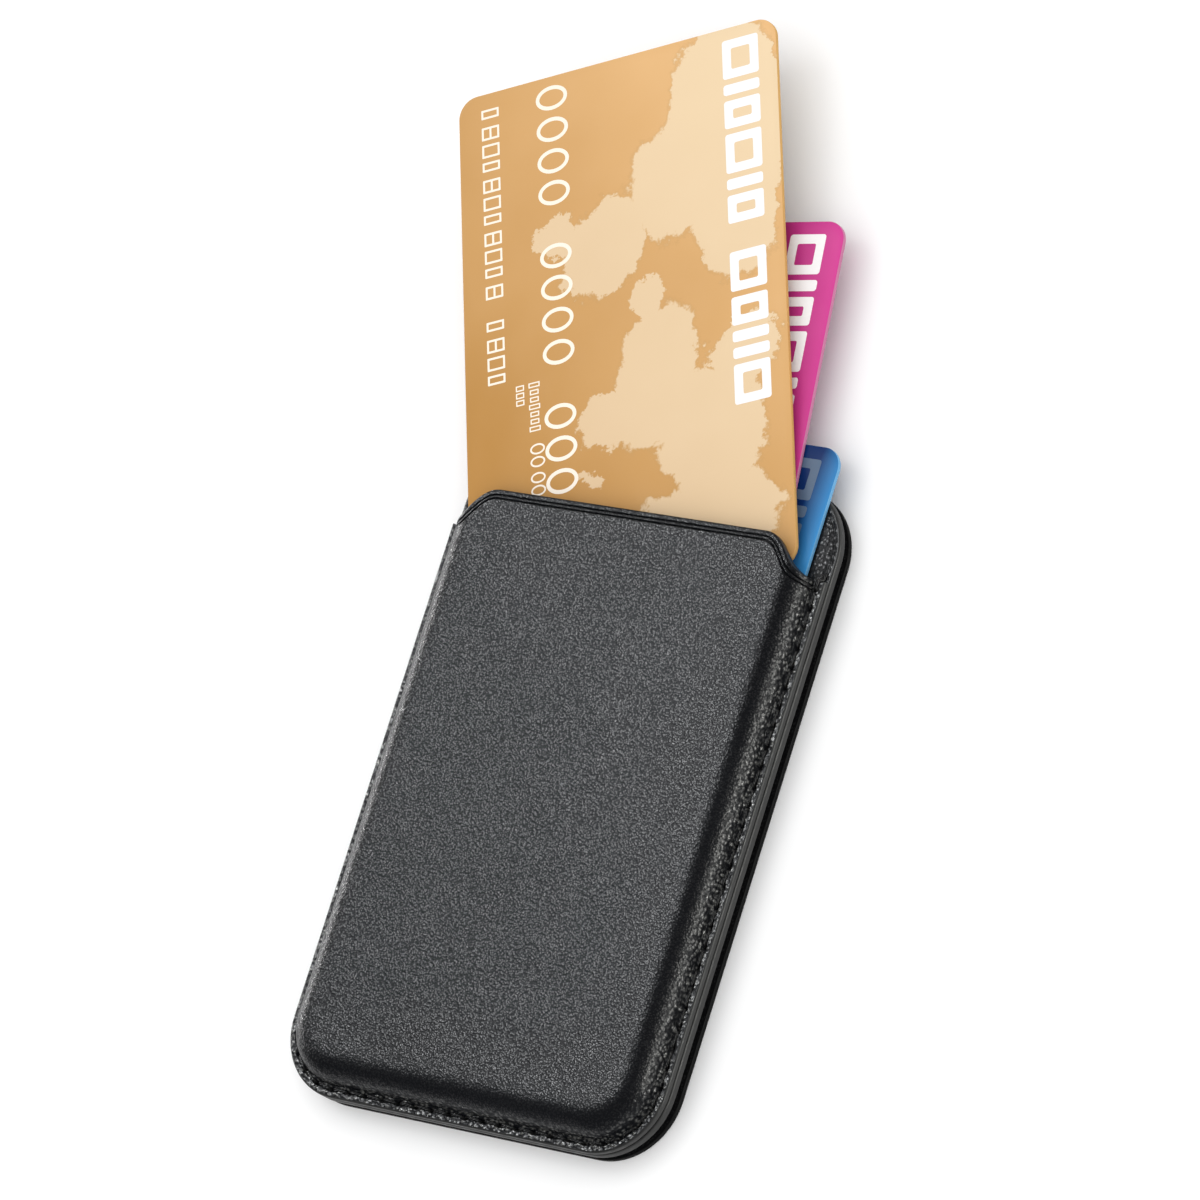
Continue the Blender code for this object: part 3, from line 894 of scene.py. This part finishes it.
def build_cards():
    white = ink("white_foil", (0.90, 0.88, 0.88))
    cream = ink("cream_foil", (0.93, 0.84, 0.72))
    grey = ink("grey_foil", (0.10, 0.15, 0.23))
    dark = ink("magnetic_stripe_coat", (0.02, 0.02, 0.022), 0.35)
    signature = ink("signature_coat", (0.78, 0.78, 0.76), 0.7)
    gold = gold_print()
    # Magenta darkens towards its left, beside the gold card in front of it: the print's colour with painted shadow
    # over it
    magenta = print_with_ramp("card_magenta_print_painted_shadow", (0.26, 0.01, 0.12), (0.60, 0.05, 0.27), 60.0, 4.0, -0.75)
    blue = print_with_ramp("card_blue_print", (0.004, 0.025, 0.12), (0.06, 0.36, 0.78), 150.0, -16.0, -2.9)
    for node, face, edge, title, slot in (
        ("card_front", gold, (0.62, 0.36, 0.12), white, "card_gold"),
        ("card_middle", magenta, (0.55, 0.20, 0.34), white, "card_magenta"),
        ("card_rear", blue, (0.16, 0.40, 0.66), grey, "card_blue"),
    ):
        core = ink(node + "_core", edge, 0.5)
        place, body = build_card(node, face, core, face)
        print_layer(node + "_title_blocks", title_bars(), place, body, title)
        print_layer(node + "_number_rings", number_rings(), place, body, cream)
        print_layer(node + "_name_strokes", name_bars(), place, body, cream)
        stripe = [bar(CARD_HALF[0] - 10.5 * MM, 0, 6.35 * MM, CARD_HALF[1] - 0.02 * MM, 0.1 * MM)]
        print_layer(node + "_stripe", stripe, place, body, dark, above=False)
        panel = [bar(CARD_HALF[0] - 26 * MM, 8 * MM, 4.6 * MM, 27 * MM, 0.3 * MM)]
        print_layer(node + "_signature_panel", panel, place, body, signature, above=False)


# ---------------------------------------------------------------- holder
def build_holder():
    front_grain = leather("front_leather_grain", (0.006, 0.0065, 0.008), 0.30 * MM, 0.048 * MM, 0.25,
                          relaxed=0.6 * MM)
    back_grain = leather("back_leather_grain", (0.0085, 0.009, 0.010), 0.6 * MM, 0.10 * MM, 0.32,
                         wear_and_highlight=(0.09, 0.09, 0.088))
    rear_grain = leather("rear_leather_grain", (0.006, 0.006, 0.007), 0.5 * MM, 0.06 * MM, 0.48)
    paint = edge_paint("edge_paint", (0.016, 0.0165, 0.016), 0.45, 0.42)
    dark_paint = edge_paint("rear_edge_paint", (0.004, 0.004, 0.0042), 0.5, 0.08)
    inside = suede("pocket_suede", (0.02, 0.02, 0.022))
    waxed = thread_material("waxed_thread", (0.006, 0.006, 0.0065))
    board = fibre_board("pressed_board", (0.035, 0.035, 0.035))
    steel = metal("cold_rolled_steel", (0.55, 0.55, 0.57), 0.35, 4200.0)
    nickel = metal("nickel_plate", (0.72, 0.70, 0.66), 0.22, 900.0)

    holes = seam_holes()
    front = build_front_panel([front_grain, paint, inside], holes)
    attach(front, "holder")
    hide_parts("front_panel")

    stitches = build_stitches(waxed, holes)
    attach(stitches, "holder")
    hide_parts("seam_thread_top")

    profile, slots = rim_profile(back_low.z, back_high.z, 0.06 * MM, 0.4 * MM, BACK_CREASES)
    back = build_plate("back_panel_sheet", HALF_WIDTH, HALF_LENGTH, CORNER_RADIUS, profile,
                       [back_grain, paint], slots)
    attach(back, "holder")
    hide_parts("back_panel")

    profile, slots = rim_profile(rear_low.z, rear_high.z, 0.12 * MM, 0.22 * MM)
    rear = build_plate("rear_panel_sheet", rear_high.x, rear_high.y, CORNER_RADIUS, profile,
                       [rear_grain, dark_paint], slots)
    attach(rear, "holder")
    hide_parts("rear_panel")

    finishes = (("ring_magnet", nickel), ("alignment_magnet", nickel), ("shunt_ring", steel),
                ("shield_plate", steel), ("core_", board), ("front_lining", inside),
                ("seam_thread_bobbin", waxed))
    for name, node in frame["nodes"].items():
        for start, finish in finishes:
            if name.startswith(start):
                node.data.materials.clear()
                node.data.materials.append(finish)


# ---------------------------------------------------------------- stage
VIEW_FROM = Vector((0.572, -0.2044, 0.7944))
VIEW_UP = Vector((-0.1318, 0.9330, 0.3349))
VIEW_TARGET = Vector((-3.35, 28.41, 5.0)) * MM
VIEW_DISTANCE = 1.078
LENS = 225.0


def aim(obj, location, target, up=(0, 0, 1)):
    obj.location = location
    back = (Vector(location) - Vector(target)).normalized()
    right = Vector(up).cross(back).normalized()
    obj.rotation_euler = Matrix((right, back.cross(right), back)).transposed().to_euler()


def build_camera():
    data = bpy.data.cameras.new("camera")
    data.lens = LENS
    data.sensor_width = 36.0
    data.clip_start = 0.01
    made = bpy.data.objects.new("camera", data)
    bpy.context.scene.collection.objects.link(made)
    aim(made, VIEW_TARGET + VIEW_FROM * VIEW_DISTANCE, VIEW_TARGET, VIEW_UP)
    bpy.context.scene.camera = made


def softbox(name, direction, distance, size, power, colour=(1, 1, 1)):
    """A panel that only shows in shiny surfaces: the even light of the studio does the rest."""
    data = bpy.data.lights.new(name, "AREA")
    data.shape = "RECTANGLE"
    data.size, data.size_y = size
    data.energy = power
    data.color = colour
    made = bpy.data.objects.new(name, data)
    made.visible_diffuse = False
    bpy.context.scene.collection.objects.link(made)
    centre = Vector((0, 10 * MM, 0))
    aim(made, centre + Vector(direction).normalized() * distance, centre)


def build_stage():
    data = bpy.data.meshes.new("floor")
    s = 4.0
    data.from_pydata([(-s, -s, 0), (s, -s, 0), (s, s, 0), (-s, s, 0)], [], [(0, 1, 2, 3)])
    data.materials.append(floor_material())
    floor = bpy.data.objects.new("floor", data)
    floor.location.z = rear_low.z - 0.05 * MM
    bpy.context.scene.collection.objects.link(floor)
    world = bpy.data.worlds.new("studio")
    world.use_nodes = True
    world.node_tree.nodes["Background"].inputs["Color"].default_value = (1, 1, 1, 1)
    world.node_tree.nodes["Background"].inputs["Strength"].default_value = 1.2
    world.cycles_visibility.glossy = False
    bpy.context.scene.world = world
    softbox("key", (-0.41, 0.22, 0.90), 0.9, (0.26, 0.40), 9.0, (0.96, 0.98, 1.0))
    softbox("side_right", (0.97, 0.20, 0.08), 0.8, (0.6, 0.11), 5.6, (1.0, 1.0, 0.95))
    softbox("side_left", (-0.975, 0.20, 0.12), 0.8, (0.6, 0.03), 6.0)
    softbox("back_right", (0.65, 0.70, 0.30), 0.9, (0.7, 0.4), 1.2)
    softbox("back_left", (-0.55, 0.72, 0.42), 0.9, (0.5, 0.3), 1.4)
    softbox("front_right", (0.68, -0.70, 0.26), 0.9, (0.8, 0.35), 0.35)
    bpy.context.scene.view_settings.view_transform = "Standard"


build_camera()
build_stage()
build_holder()
build_cards()
